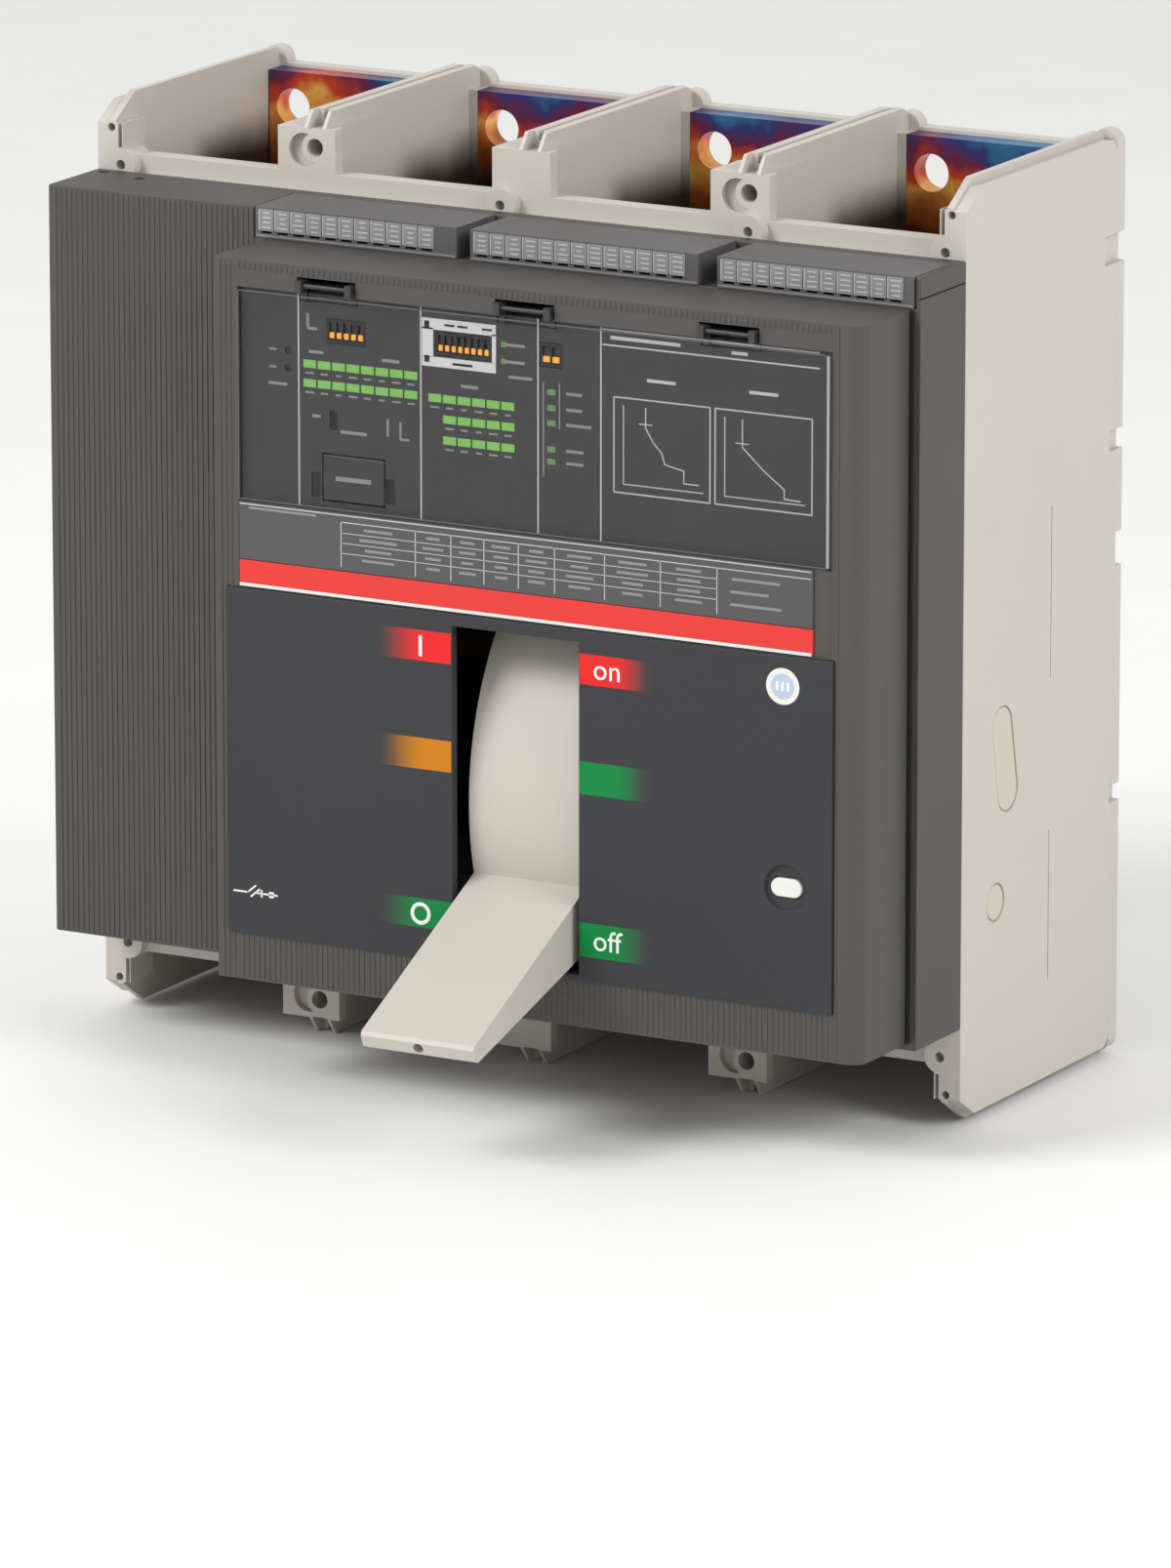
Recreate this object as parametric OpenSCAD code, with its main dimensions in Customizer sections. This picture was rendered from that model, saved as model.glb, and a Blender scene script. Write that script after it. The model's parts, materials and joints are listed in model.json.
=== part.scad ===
// Four-pole, lever-operated circuit breaker for a switchboard, in millimetres.
// The origin is the centre of the back mounting face. X runs across the poles,
// -Y points out of the front, and Z is up. The model is drawn with the lever at off.

/* [Case] */
// Distance from one pole's centre line to the next
pole_pitch = 70; // [70:0.5:72]
// Height over the ridges of the partitions
case_h = 271; // [271:1:276]
// Depth from the mounting face to the front of the end walls
case_d = 98; // [98:0.5:100]
// Thickness of the moulded walls
wall = 6; // [5:0.5:6]
// Thickness of the rear frame
rear_t = 5; // [4:0.5:5]

/* [Cover and mask] */
// Depth from the mounting face to the front of the shoulder cover
shoulder_d = 125.2; // [124:0.2:126]
// Depth from the mounting face to the front of the panel
front_d = 154; // [153:0.5:155]
// Height of the raised mask
mask_h = 208.6; // [208:0.2:209]

/* [Lever] */
// Width of the lever
lever_w = 36; // [34:0.5:37]
// Outer radius of the lever's drum
drum_r = 76.5; // [76:0.1:77]
// Distance from the lever's pin to the tip of its arm
arm_reach = 147.5; // [140:0.5:148]
// Angle of the arm below the horizontal at off
arm_drop = 21.7; // [21:0.1:22]
// Radius of the lever's pin
pin_r = 5; // [4:0.5:5]

/* [Fixing] */
// Radius of the four fixing holes
fix_r = 2.6; // [2.2:0.1:3]
// Vertical distance between the fixing holes
fix_h = 250.4; // [250:0.1:251]
// Radius of each terminal hole
term_hole_r = 5.5; // [4.5:0.25:5.5]
// Distance between the two holes of one terminal
term_hole_gap = 41; // [40:0.5:42]

/* [Hidden] */
$fn = 64;
eps = 0.1;
fit = 0.05;

// Case
case_w = 4 * pole_pitch;
part_w = 7;
post_w = 8.3;
inner_top = case_h / 2;
outer_top = inner_top - 3;
block_d = 94.5;
block_top = inner_top - 4.7;
block_left = 12.2;
block_right = 6.6;
block_depth = 17;
flare_end = 61;
ridge_r = 4;
lip_w = 7.5;
post_side = 28.6;
floor_z = 82;
bar_top = 118;
cover_top = 113.5;
cover_low = -106.2;
cover_back = case_d + 0.2;
end_hole_r = 1.2;
boss_r = 4.8;
boss_z = 115;
boss_xs = [-132.5, -7.8, 71.5, 133.4];
screw_r = 1.5;

// Current path
plate_w = pole_pitch - part_w - wall;
plate_t = 7;
plate_top = inner_top - 6.5;
term_hole_z = 118.5;
nut_r = 9;
contact_z = 32;
pad_t = 3;

// Mask, panel and window
mask_x0 = -69;
mask_x1 = 137;
mask_face = front_d - 1;
panel_x0 = -65.3;
panel_x1 = 128.6;
panel_z0 = -90.5;
panel_z1 = 10;
panel_t = 3;
window_x0 = -61.3;
window_x1 = 127.5;
window_z0 = 35;
window_z1 = 96.4;
slot_x0 = 8.2;
slot_x1 = 48.7;
slot_z0 = -89;
slot_z1 = 6.5;
label_t = 0.6;
strip_z0 = 104.5;
strip_back = 103;

// Lever and mechanism
pivot_y = -72;
pivot_z = -45.5;
lever_x = (slot_x0 + slot_x1) / 2;
cheek_t = 3;
shell_t = 3.5;
sector_low = 43;
sector_high = 45;
root_t = 17;
tip_t = 5.5;
shaft_y = -46;
shaft_z = -22;
shaft_r = 10;
crank = 18 * [cos(157), sin(157)];
link_pin_r = 3;
frame_t = 2;
frame_x0 = 4;
frame_x1 = 53;
spacer_r = 2.5;
spacer_at = [[-66, -76], [-108, -92]];
trip_pin_r = 2;
open_angle = 117;
arm_len = 64;
button_x = 114;
button_z = -56;
button_travel = 3;
trip_bar_y = -112;
trip_bar_z = -40;
coil_z = button_z;
trip_gap = 0.7;
coil_x = 89;
hinge_y = -153.6;
hinge_z = 98.7;
hinge_pin_r = 0.7;
hinge_xs = [-32.5, 31, 95.3];
clip_half = 9.4;
clip_top = 100.9;
plug = [[-34.7, 37.4], [-14.3, 51.2]];
key_slots = [[-38.2, 38.4, 2.8, 7], [-14, 38.7, 2.8, 7], [-32.2, 58, 2.4, 5.6]];
socket_zs = [74.3, 79.3];
socket_x = -45.6;
socket_r = 1.1;

// A box from its lowest corner to its highest one
module span(a, b) {
    translate(a) cube([b[0] - a[0], b[1] - a[1], b[2] - a[2]]);
}

// A rod along X from x0 to x1
module rod_x(x0, x1, r, y, z) {
    translate([x0, y, z]) rotate([0, 90, 0]) cylinder(r = r, h = x1 - x0);
}

// A rod along Y from y0, the front end, to y1
module rod_y(y0, y1, r, x, z) {
    translate([x, y1, z]) rotate([90, 0, 0]) cylinder(r = r, h = y1 - y0);
}

// An outline drawn in Y and Z, given a thickness from x0 to x1
module side_plate(x0, x1) {
    translate([x0, 0, 0]) rotate([90, 0, 90]) linear_extrude(x1 - x0) children();
}

// The top and the bottom are alike
module both_ends() {
    children();
    mirror([0, 0, 1]) children();
}

// The four fixing holes, drilled from front to back
module fixing_holes() {
    both_ends() {
        for (side = [-1, 1])
            rod_y(-front_d, eps, fix_r, side * pole_pitch, fix_h / 2);
    }
}

function pole_x(n) = (n - 2.5) * pole_pitch;

// Upper half of a wall between the terminal chambers, rounded at the back
module wall_outline(depth, top, slope_d, slope_h, low = 0) {
    polygon(concat(
        [[-rear_t, low]],
        [for (a = [0:22.5:90]) [-rear_t - ridge_r * (1 - cos(a)), top - ridge_r * (1 - sin(a))]],
        [[-depth + slope_d, top], [-depth, top - slope_h], [-depth, low]]
    ));
}

// Small notches along the back edge of both end walls
module edge_notches() {
    for (side = [-1, 1], n = [[101, 8.5, 12], [45.5, 6, 8], [13.5, 10, 3.7], [-58, 5, 6]])
        translate([side * case_w / 2, 0, n[0]])
            cube([4, 2 * n[2], n[1]], center = true);
}

module rear_frame() {
    color("gainsboro") difference() {
        union() {
            span([-case_w / 2, -rear_t, -outer_top + 1.4], [case_w / 2, 0, outer_top - 2.5]);
            for (n = [-1, 0, 1], end = [-1, 1]) {
                rod_y(-rear_t, 0, 4.6, n * pole_pitch + 2.5, end * (inner_top - 6.1));
                rod_y(-rear_t, 0, 4.6, n * pole_pitch - 2.5, end * (inner_top - 6.1));
            }
            for (side = [-1, 1], end = [-1, 1])
                rod_y(-rear_t, 0, 4.2, side * (case_w / 2 - 4.2), end * (inner_top - 5));
        }
        // Windows for the bolt ends and nuts behind each terminal
        half = term_hole_gap / 2 + nut_r;
        for (n = [1:4]) both_ends()
            span([pole_x(n) - half, -rear_t - eps, term_hole_z - nut_r],
                 [pole_x(n) + half, eps, term_hole_z + nut_r]);
        fixing_holes();
        edge_notches();
    }
}

module end_wall() {
    both_ends() {
        side_plate(case_w / 2 - 4, case_w / 2) wall_outline(case_d, outer_top, 9, 5.5);
        side_plate(case_w / 2 - wall, case_w / 2 - 4) wall_outline(case_d, inner_top - 0.7, 11, 7);
        side_plate(case_w / 2 - lip_w, case_w / 2 - wall + eps)
            wall_outline(case_d - 4, inner_top - 0.7, 9, 5.5, inner_top - 4);
        span([case_w / 2 - post_w, -case_d, floor_z], [case_w / 2 - wall, -case_d + 13, block_top - 3.5]);
    }
}

// A block at the front of a partition; on its right it sweeps back into the wall
module block_outline() {
    run = flare_end - (block_d - 4);
    polygon(concat(
        [[-part_w / 2, -block_d + block_depth], [-block_left, -block_d + block_depth]],
        [[-block_left, -block_d], [block_right, -block_d]],
        [for (a = [0:15:90]) [
            block_right - (block_right - part_w / 2) * sin(a),
            -block_d + 4 - run * (1 - cos(a))
        ]]
    ));
}

module partition(x) {
    both_ends() {
        side_plate(x - part_w / 2, x + part_w / 2) wall_outline(block_d, inner_top, 3.5, 4.7);
        translate([x, 0, floor_z]) linear_extrude(block_top - floor_z) block_outline();
    }
}

// Crescent recess beside a fixing hole
module crescent(x) {
    difference() {
        rod_y(-block_d - eps, -block_d + 2.5, 4.9, x - 3.7, fix_h / 2 - 0.9);
        rod_y(-block_d - 1, -block_d + 3, 4.3, x, fix_h / 2);
    }
}

module case_base() {
    color("gainsboro") difference() {
        union() {
            end_wall();
            mirror([1, 0, 0]) end_wall();
            for (n = [-1, 0, 1]) partition(n * pole_pitch);
            both_ends() {
                span([-case_w / 2 + 1, -block_d, floor_z], [case_w / 2 - 1, -rear_t, floor_z + wall]);
                span([-case_w / 2 + 1, -block_d, floor_z], [case_w / 2 - 1, -block_d + wall, bar_top]);
                for (x = boss_xs) rod_y(-case_d, -block_d + 6, boss_r, x, boss_z);
                // Corner posts on both sides of the terminals
                for (n = [-1, 0, 1], side = [-1, 1]) {
                    inner = n * pole_pitch + side * (part_w / 2 - eps);
                    outer = n * pole_pitch + side * (pole_pitch / 2 - post_side);
                    span([min(inner, outer), -rear_t - plate_t, floor_z], [max(inner, outer), -rear_t, plate_top]);
                }
            }
            difference() {
                span([-138, -case_d, cover_low + 1], [138, -block_d + 2, cover_top - 1]);
                span([-134, -case_d - eps, cover_low + 5], [134, -block_d + 3, cover_top - 5]);
            }
        }
        // Groove and notch for the barriers, along the ridge of each partition
        both_ends() {
            for (n = [-1, 0, 1]) {
                span([n * pole_pitch - 0.8, -89, inner_top - 3], [n * pole_pitch + 0.8, -8, case_h]);
                span([n * pole_pitch - 2.4, -block_d - 1, inner_top - 5], [n * pole_pitch + 2.4, -88, case_h]);
            }
            for (n = [-1, 1]) crescent(n * pole_pitch);
            for (side = [-1, 1]) {
                rod_y(-case_d - eps, -case_d + 14, end_hole_r, side * (case_w / 2 - 4.6), 125.8);
                span([side * 132.6 - 0.6, -case_d - eps, 120], [side * 132.6 + 0.6, -case_d + 4, 131]);
            }
            for (x = boss_xs) rod_y(-case_d - eps, -block_d + 5, screw_r, x, boss_z);
        }
        // The terminals pass through the chamber floors
        for (n = [1:4]) both_ends()
            span([pole_x(n) - plate_w / 2, -rear_t - plate_t, floor_z - 1],
                 [pole_x(n) + plate_w / 2, -rear_t + eps, bar_top]);
        rod_x(-case_w / 2 + 3, case_w / 2 - 3, shaft_r + fit, shaft_y, shaft_z);
        fixing_holes();
        edge_notches();
    }
}

// Holes through a terminal's flat end
module terminal_holes(x, z) {
    for (side = [-0.5, 0.5])
        rod_y(-rear_t - plate_t - eps, -rear_t + eps, term_hole_r, x + side * term_hole_gap, z);
}

module upper_terminal(n) {
    x = pole_x(n);
    color("peru") difference() {
        span([x - plate_w / 2, -rear_t - plate_t, contact_z - 12], [x + plate_w / 2, -rear_t, plate_top]);
        terminal_holes(x, term_hole_z);
    }
}

module lower_terminal(n) {
    x = pole_x(n);
    color("peru") difference() {
        side_plate(x - plate_w / 2, x + plate_w / 2) polygon([
            [-rear_t, -plate_top], [-rear_t, -70], [-29, -70], [-29, -44],
            [-37, -44], [-37, -78], [-rear_t - plate_t, -78], [-rear_t - plate_t, -plate_top]
        ]);
        for (side = [-1, 1])
            span([x + side * 23 - 9, -60, -74], [x + side * 23 + 9, -26, -40]);
        terminal_holes(x, -term_hole_z);
    }
}

module fixed_contact_pads() {
    color("silver") for (n = [1:4])
        span([pole_x(n) - 8, -rear_t - plate_t - pad_t, contact_z - 8],
             [pole_x(n) + 8, -rear_t - plate_t, contact_z + 8]);
}

module arc_chute(n) {
    x = pole_x(n);
    color("dimgray") for (i = [0:11])
        span([x - 27, -84 + 5.2 * i, 61.5], [x + 27, -82.5 + 5.2 * i, 80]);
    color("tan") for (side = [-1, 1])
        span([x + side * 28 - 1, -86, 60], [x + side * 28 + 1, -22, 81]);
}

module current_sensor(n) {
    x = pole_x(n);
    color("darkslategray") difference() {
        span([x - 27, -57, -66], [x + 27, -14, -50]);
        span([x - 14.5, -38, -67], [x + 14.5, -28, -49]);
    }
}

module pole_shaft() {
    color("saddlebrown") difference() {
        union() {
            rod_x(-case_w / 2 + wall + 1, case_w / 2 - wall - 1, shaft_r, shaft_y, shaft_z);
            for (x = [14, 20.4]) hull() {
                rod_x(x, x + 2, 7, shaft_y, shaft_z);
                rod_x(x, x + 2, 5.5, shaft_y + crank[0], shaft_z + crank[1]);
            }
        }
        for (n = [1:4]) rotate_arm(n) span([-5.4, -3.9, -14], [5.4, 3.9, 14]);
        rod_x(13, 23.5, link_pin_r, shaft_y + crank[0], shaft_z + crank[1]);
    }
    color("silver") rod_x(14, 22.4, link_pin_r, shaft_y + crank[0], shaft_z + crank[1]);
}

// Carries its children to the shaft's axis, with +Z along the open contact arm
module rotate_arm(n) {
    translate([pole_x(n), shaft_y, shaft_z]) rotate([open_angle - 90, 0, 0]) children();
}

module contact_arm(n) {
    color("peru") rotate_arm(n) union() {
        span([-5.4, -3.9, -12], [5.4, 3.9, arm_len]);
        rod_x(-7, 7, 4.2, 3.5, 60);
    }
}

module front_cover() {
    color("dimgray") difference() {
        span([-case_w / 2, -shoulder_d, cover_low], [case_w / 2, -cover_back, cover_top]);
        span([-case_w / 2 + 3, -shoulder_d + 3, cover_low + 3], [case_w / 2 - 3, -cover_back + eps, strip_z0 - 3]);
        span([-case_w / 2 + 3, -cover_back - 6, cover_low + 3], [case_w / 2 - 3, -cover_back + eps, cover_top - 3]);
        span([-72, -shoulder_d - eps, strip_z0], [138.4, -strip_back, case_h]);
        span([mask_x0 + 6, -shoulder_d - eps, cover_low + 3], [mask_x1 - 6, -shoulder_d + 4, 98]);
    }
}

module cover_screws() {
    color("dimgray") for (x = boss_xs, s = [-1, 1])
        rod_y(-case_d + 3, -block_d + 5, screw_r, x, s * boss_z);
}

module mask_outline(grow) {
    r = 5;
    x0 = mask_x0 + grow;
    x1 = mask_x1 - grow;
    y0 = -mask_face + grow;
    polygon(concat(
        [[x0, -shoulder_d], [x0, y0]],
        [for (a = [0:9:90]) [x1 - r + r * sin(a), y0 + r - r * cos(a)]],
        [[x1, -shoulder_d]]
    ));
}

module front_mask() {
    color("dimgray") difference() {
        translate([0, 0, -mask_h / 2]) linear_extrude(mask_h) mask_outline(0);
        span([mask_x0 + 3, -mask_face + 5, -mask_h / 2 + 3], [mask_x1 - 3, -shoulder_d + eps, mask_h / 2 - 3]);
        span([panel_x0, -front_d - eps, panel_z0], [panel_x1, -front_d + panel_t, panel_z1]);
        span([window_x0, -front_d - eps, window_z0], [window_x1, -mask_face + 6, window_z1]);
        span([slot_x0 - 2, -front_d - eps, slot_z0], [slot_x1 + 2, -mask_face + 6, panel_z1 - 2]);
        span([button_x - 8, -front_d - eps, button_z - 6], [button_x + 8, -mask_face + 6, button_z + 6]);
        span([window_x0, -mask_face - eps, panel_z1 + 0.2], [window_x1, -mask_face + label_t, window_z0 + eps]);
        // Pockets for the hinges of the clear cover
        for (x = hinge_xs)
            span([x - clip_half, -front_d - eps, window_z1 - eps], [x + clip_half, -mask_face + 6, clip_top]);
    }
}

module oval_y(y0, y1, r, half, x, z) {
    hull_pts = [x - half, x + half];
    for (c = hull_pts) rod_y(y0, y1, r, c, z);
    span([x - half, y0, z - r], [x + half, y1, z + r]);
}

module toggle_panel() {
    color([0.26, 0.26, 0.27]) difference() {
        span([panel_x0 + 0.1, -front_d, panel_z0 + 0.1], [panel_x1 - 0.1, -front_d + panel_t, panel_z1 - 0.1]);
        span([slot_x0, -front_d - eps, slot_z0], [slot_x1, -front_d + panel_t + eps, slot_z1]);
        oval_y(-front_d - eps, -front_d + panel_t + eps, 3, 2.2, button_x, button_z);
        rod_y(-front_d - eps, -front_d + 1, 6.6, button_x, button_z);
    }
}

module rating_plate() {
    color("gray") span([window_x0 + 0.1, -mask_face, 18.2], [window_x1 - 5.8, -mask_face + label_t, window_z0 - 0.2]);
}

module red_band() {
    color("tomato") span([window_x0 + 0.1, -mask_face, 10.4], [window_x1 - 5.8, -mask_face + label_t, 18]);
}

module connector(x0, x1) {
    color("dimgray") difference() {
        span([x0, -shoulder_d - 0.2, strip_z0 + 0.1], [x1, -strip_back - 0.1, cover_top]);
        // Wire entries under the label rail
        pitch = 5.2;
        count = floor((x1 - x0 - 3) / pitch);
        for (i = [0:count - 1])
            span([x0 + 2 + i * pitch, -shoulder_d - 1, strip_z0 + 1.4],
                 [x0 + 5.4 + i * pitch, -shoulder_d + 9, strip_z0 + 3.4]);
    }
}

module mechanism_frame(x) {
    color("silver") difference() {
        side_plate(x, x + frame_t) polygon([
            [-120, -97], [-120, -20], [-96, 20], [-72, 30], [-58, 20], [-58, -floor_z], [-99, -floor_z], [-99, -97]
        ]);
        rod_x(x - 1, x + frame_t + 1, pin_r, pivot_y, pivot_z);
        for (p = spacer_at) rod_x(x - 1, x + frame_t + 1, spacer_r, p[0], p[1]);
        rod_x(x - 1, x + frame_t + 1, trip_pin_r, trip_bar_y, trip_bar_z);
    }
}

module mechanism_spacers() {
    color("silver") for (p = spacer_at) rod_x(frame_x0 - 0.4, frame_x1 + 0.4, spacer_r, p[0], p[1]);
}

// Ring sector about the lever's pin; angles are above the front horizontal
module sector(r0, r1, low, high) {
    difference() {
        circle(r = r1);
        circle(r = r0);
        rotate(180 - low) translate([-2 * r1, 0]) square([4 * r1, 2 * r1]);
        rotate(180 - high) translate([-2 * r1, -2 * r1]) square([4 * r1, 2 * r1]);
    }
}

module at_pivot() {
    translate([0, pivot_y, pivot_z]) children();
}

module lever() {
    x0 = lever_x - lever_w / 2;
    x1 = lever_x + lever_w / 2;
    color("gainsboro") difference() {
        union() {
            at_pivot() side_plate(x0, x1) sector(drum_r - shell_t, drum_r, -sector_low, sector_high);
            for (x = [x0, x1 - cheek_t]) at_pivot() side_plate(x, x + cheek_t) {
                sector(6, drum_r - 1, -sector_low, sector_high);
                circle(r = 9);
            }
            at_pivot() side_plate(x0, x1) rotate(180 + arm_drop) polygon([
                [drum_r - 4, -root_t / 2], [arm_reach - 1, -tip_t / 2], [arm_reach, -tip_t / 2 + 1],
                [arm_reach, tip_t / 2 - 1], [arm_reach - 1, tip_t / 2],
                [drum_r - 4, root_t / 2 + 1.5]
            ]);
        }
        rod_x(x0 - 1, x1 + 1, pin_r + fit, pivot_y, pivot_z);
        // Padlock hole in the tip of the arm
        at_pivot() rotate([arm_drop, 0, 0]) translate([lever_x, -arm_reach - 1, 0]) rotate([-90, 0, 0])
            cylinder(r = 1.6, h = 12);
    }
    color("silver") rod_x(x0 + cheek_t - eps, 21.5, link_pin_r, pivot_y + crank[0], pivot_z + crank[1]);
}

module lever_pin() {
    color("silver") rod_x(frame_x0 - 0.4, frame_x1 + 0.4, pin_r, pivot_y, pivot_z);
}

module drive_link() {
    color("silver") difference() {
        hull() {
            rod_x(16.4, 20, 5, pivot_y + crank[0], pivot_z + crank[1]);
            rod_x(16.4, 20, 5, shaft_y + crank[0], shaft_z + crank[1]);
        }
        rod_x(16, 21, link_pin_r + fit, pivot_y + crank[0], pivot_z + crank[1]);
        rod_x(16, 21, link_pin_r + fit, shaft_y + crank[0], shaft_z + crank[1]);
    }
}

module slot_shutter() {
    x0 = lever_x - lever_w / 2 + cheek_t + 0.6;
    x1 = lever_x + lever_w / 2 - cheek_t - 0.6;
    color("black") difference() {
        union() {
            at_pivot() side_plate(x0, x1) sector(69.5, 71.5, -44, 3);
            at_pivot() side_plate(x1 - 2, x1) {
                sector(7, 70, -44, -32);
                circle(r = 8);
            }
        }
        rod_x(x0 - 1, x1 + 1, pin_r + fit, pivot_y, pivot_z);
    }
}

module trip_bar() {
    color("saddlebrown") difference() {
        union() {
            rod_x(58, 130, 4.5, trip_bar_y, trip_bar_z);
            for (x = [coil_x, button_x]) span([x - 5, trip_bar_y - 2, button_z - 3], [x + 5, trip_bar_y + 2, trip_bar_z]);
        }
        rod_x(57, 131, trip_pin_r + fit, trip_bar_y, trip_bar_z);
    }
}

module trip_bar_pin() {
    color("silver") rod_x(frame_x1 - frame_t, 137, trip_pin_r, trip_bar_y, trip_bar_z);
}

module trip_coil() {
    color("darkslategray") difference() {
        span([coil_x - 13, -146, coil_z - 12], [coil_x + 13, -121, coil_z + 12]);
        rod_y(-147, -120, 2.5 + fit, coil_x, coil_z);
    }
}

module trip_plunger() {
    color("silver") rod_y(-143, trip_bar_y - 2 - trip_gap, 2.5, coil_x, coil_z);
}

module trip_button() {
    color("whitesmoke") {
        oval_y(-front_d + 0.4, -front_d + 9, 2.7, 2.2, button_x, button_z);
        rod_y(-front_d + 9, trip_bar_y - 2 - trip_gap, 2, button_x, button_z);
    }
}

// Opening for the test plug
module plug_hole() {
    span([plug[0][0], -front_d, plug[0][1]], [plug[1][0], -mask_face + 5, plug[1][1]]);
}

module trip_unit_housing() {
    color([0.3, 0.29, 0.3]) difference() {
        span([window_x0 + 0.2, -mask_face + 2.1, window_z0 + 0.2], [window_x1 - 0.2, -shoulder_d - 1, window_z1 - 0.2]);
        span([window_x0 + 2.2, -mask_face + 4, window_z0 + 2.2], [window_x1 - 2.2, -shoulder_d, window_z1 - 2.2]);
        plug_hole();
    }
    // Ears that hold the pins of the clear cover
    color([0.3, 0.29, 0.3]) for (x = hinge_xs, side = [-1, 1]) difference() {
        union() {
            span([x + side * 8 - 1, hinge_y - 1.4, hinge_z - 2], [x + side * 8 + 1, -mask_face + 2.1, hinge_z + 1.5]);
            span([x + side * 8 - 1, -mask_face + 1.4, window_z1 - 2.2], [x + side * 8 + 1, -mask_face + 2.3, hinge_z + 1.5]);
        }
        rod_x(x - 10, x + 10, hinge_pin_r, hinge_y, hinge_z);
    }
}

module trip_unit_face() {
    color([0.3, 0.29, 0.3]) difference() {
        span([window_x0 + 0.2, -mask_face + 1.3, window_z0 + 0.2], [window_x1 - 0.2, -mask_face + 2.1, window_z1 - 0.2]);
        plug_hole();
        for (d = [dip_long, dip_short, dip_neutral]) dip_window(d);
        for (k = key_slots) span([k[0], -front_d, k[1]], [k[0] + k[2], -mask_face + 3, k[1] + k[3]]);
        for (z = socket_zs) rod_y(-front_d, -mask_face + 3, socket_r, socket_x, z);
        for (x = hinge_xs)
            span([x - clip_half, -front_d, window_z1 - 2.4], [x + clip_half, -mask_face + 3, window_z1]);
    }
}

// Each switch block: left edge, lower edge, number of sliders, pitch
dip_long = [-32.6, 83.3, 5, 2.3];
dip_short = [2.4, 83.2, 8, 2.1];
dip_neutral = [35.7, 83.4, 2, 3];
dip_h = 6;

module dip_window(d) {
    span([d[0] - 0.6, -front_d, d[1] - 0.6], [d[0] + d[2] * d[3] + 0.6, -mask_face + 5, d[1] + dip_h + 0.6]);
}

module dip_switch_bodies() {
    color("black") for (d = [dip_long, dip_short, dip_neutral]) difference() {
        span([d[0] - 0.5, -mask_face + 1.4, d[1] - 0.5],
             [d[0] + d[2] * d[3] + 0.5, -mask_face + 2.1, d[1] + dip_h + 0.5]);
        for (i = [0:d[2] - 1])
            span([d[0] + i * d[3] + 0.3, -front_d, d[1] + 0.6],
                 [d[0] + (i + 1) * d[3] - 0.3, -mask_face + 3, d[1] + dip_h - 0.6]);
    }
}

module sliders(d) {
    color("orange") for (i = [0:d[2] - 1])
        span([d[0] + i * d[3] + 0.4, -mask_face + 1.35, d[1] + 0.9],
             [d[0] + (i + 1) * d[3] - 0.4, -mask_face + 2.05, d[1] + 2.6]);
}

module test_plug() {
    color("dimgray") span([plug[0][0] + 0.3, -mask_face + 1, plug[0][1] + 0.3],
                          [plug[1][0] - 0.3, -mask_face + 4.9, plug[1][1] - 0.3]);
}

module window_cover() {
    color([0.8, 0.85, 0.85, 0.3]) {
        span([window_x0 + 0.4, -front_d + 0.1, window_z0 + 0.4], [window_x1 - 0.4, -mask_face + 0.9, hinge_z - 2.8]);
        for (x = hinge_xs) difference() {
            union() {
                span([x - 6, -front_d + 0.1, hinge_z - 3], [x + 6, -mask_face + 0.9, hinge_z]);
                rod_x(x - 6, x + 6, 1.5, hinge_y, hinge_z);
            }
            rod_x(x - 7, x + 7, hinge_pin_r + fit, hinge_y, hinge_z);
        }
    }
}

module window_hinge_pins() {
    color("silver") for (x = hinge_xs) rod_x(x - 9, x + 9, hinge_pin_r, hinge_y, hinge_z);
}

rear_frame();
case_base();
upper_terminal(1);  // upper_terminal_1
upper_terminal(2);  // upper_terminal_2
upper_terminal(3);  // upper_terminal_3
upper_terminal(4);  // upper_terminal_4
lower_terminal(1);  // lower_terminal_1
lower_terminal(2);  // lower_terminal_2
lower_terminal(3);  // lower_terminal_3
lower_terminal(4);  // lower_terminal_4
arc_chute(1);  // arc_chute_1
arc_chute(2);  // arc_chute_2
arc_chute(3);  // arc_chute_3
arc_chute(4);  // arc_chute_4
current_sensor(1);  // current_sensor_1
current_sensor(2);  // current_sensor_2
current_sensor(3);  // current_sensor_3
current_sensor(4);  // current_sensor_4
pole_shaft();
contact_arm(1);  // contact_arm_1
contact_arm(2);  // contact_arm_2
contact_arm(3);  // contact_arm_3
contact_arm(4);  // contact_arm_4
fixed_contact_pads();
front_cover();
cover_screws();
front_mask();
toggle_panel();
rating_plate();
red_band();
connector(-71.6, -6.3);  // connector_left
connector(-1.9, 70.7);  // connector_middle
connector(76.6, 138);  // connector_right
mechanism_frame(frame_x0);  // mechanism_frame_left
mechanism_frame(frame_x1 - frame_t);  // mechanism_frame_right
mechanism_spacers();
lever();
lever_pin();
drive_link();
slot_shutter();
trip_bar();
trip_bar_pin();
trip_coil();
trip_plunger();
trip_button();
trip_unit_housing();
trip_unit_face();
dip_switch_bodies();
sliders(dip_long);  // long_time_sliders
sliders(dip_short);  // short_time_sliders
sliders(dip_neutral);  // neutral_sliders
test_plug();
window_cover();
window_hinge_pins();
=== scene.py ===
import json
import math
import random

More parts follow.
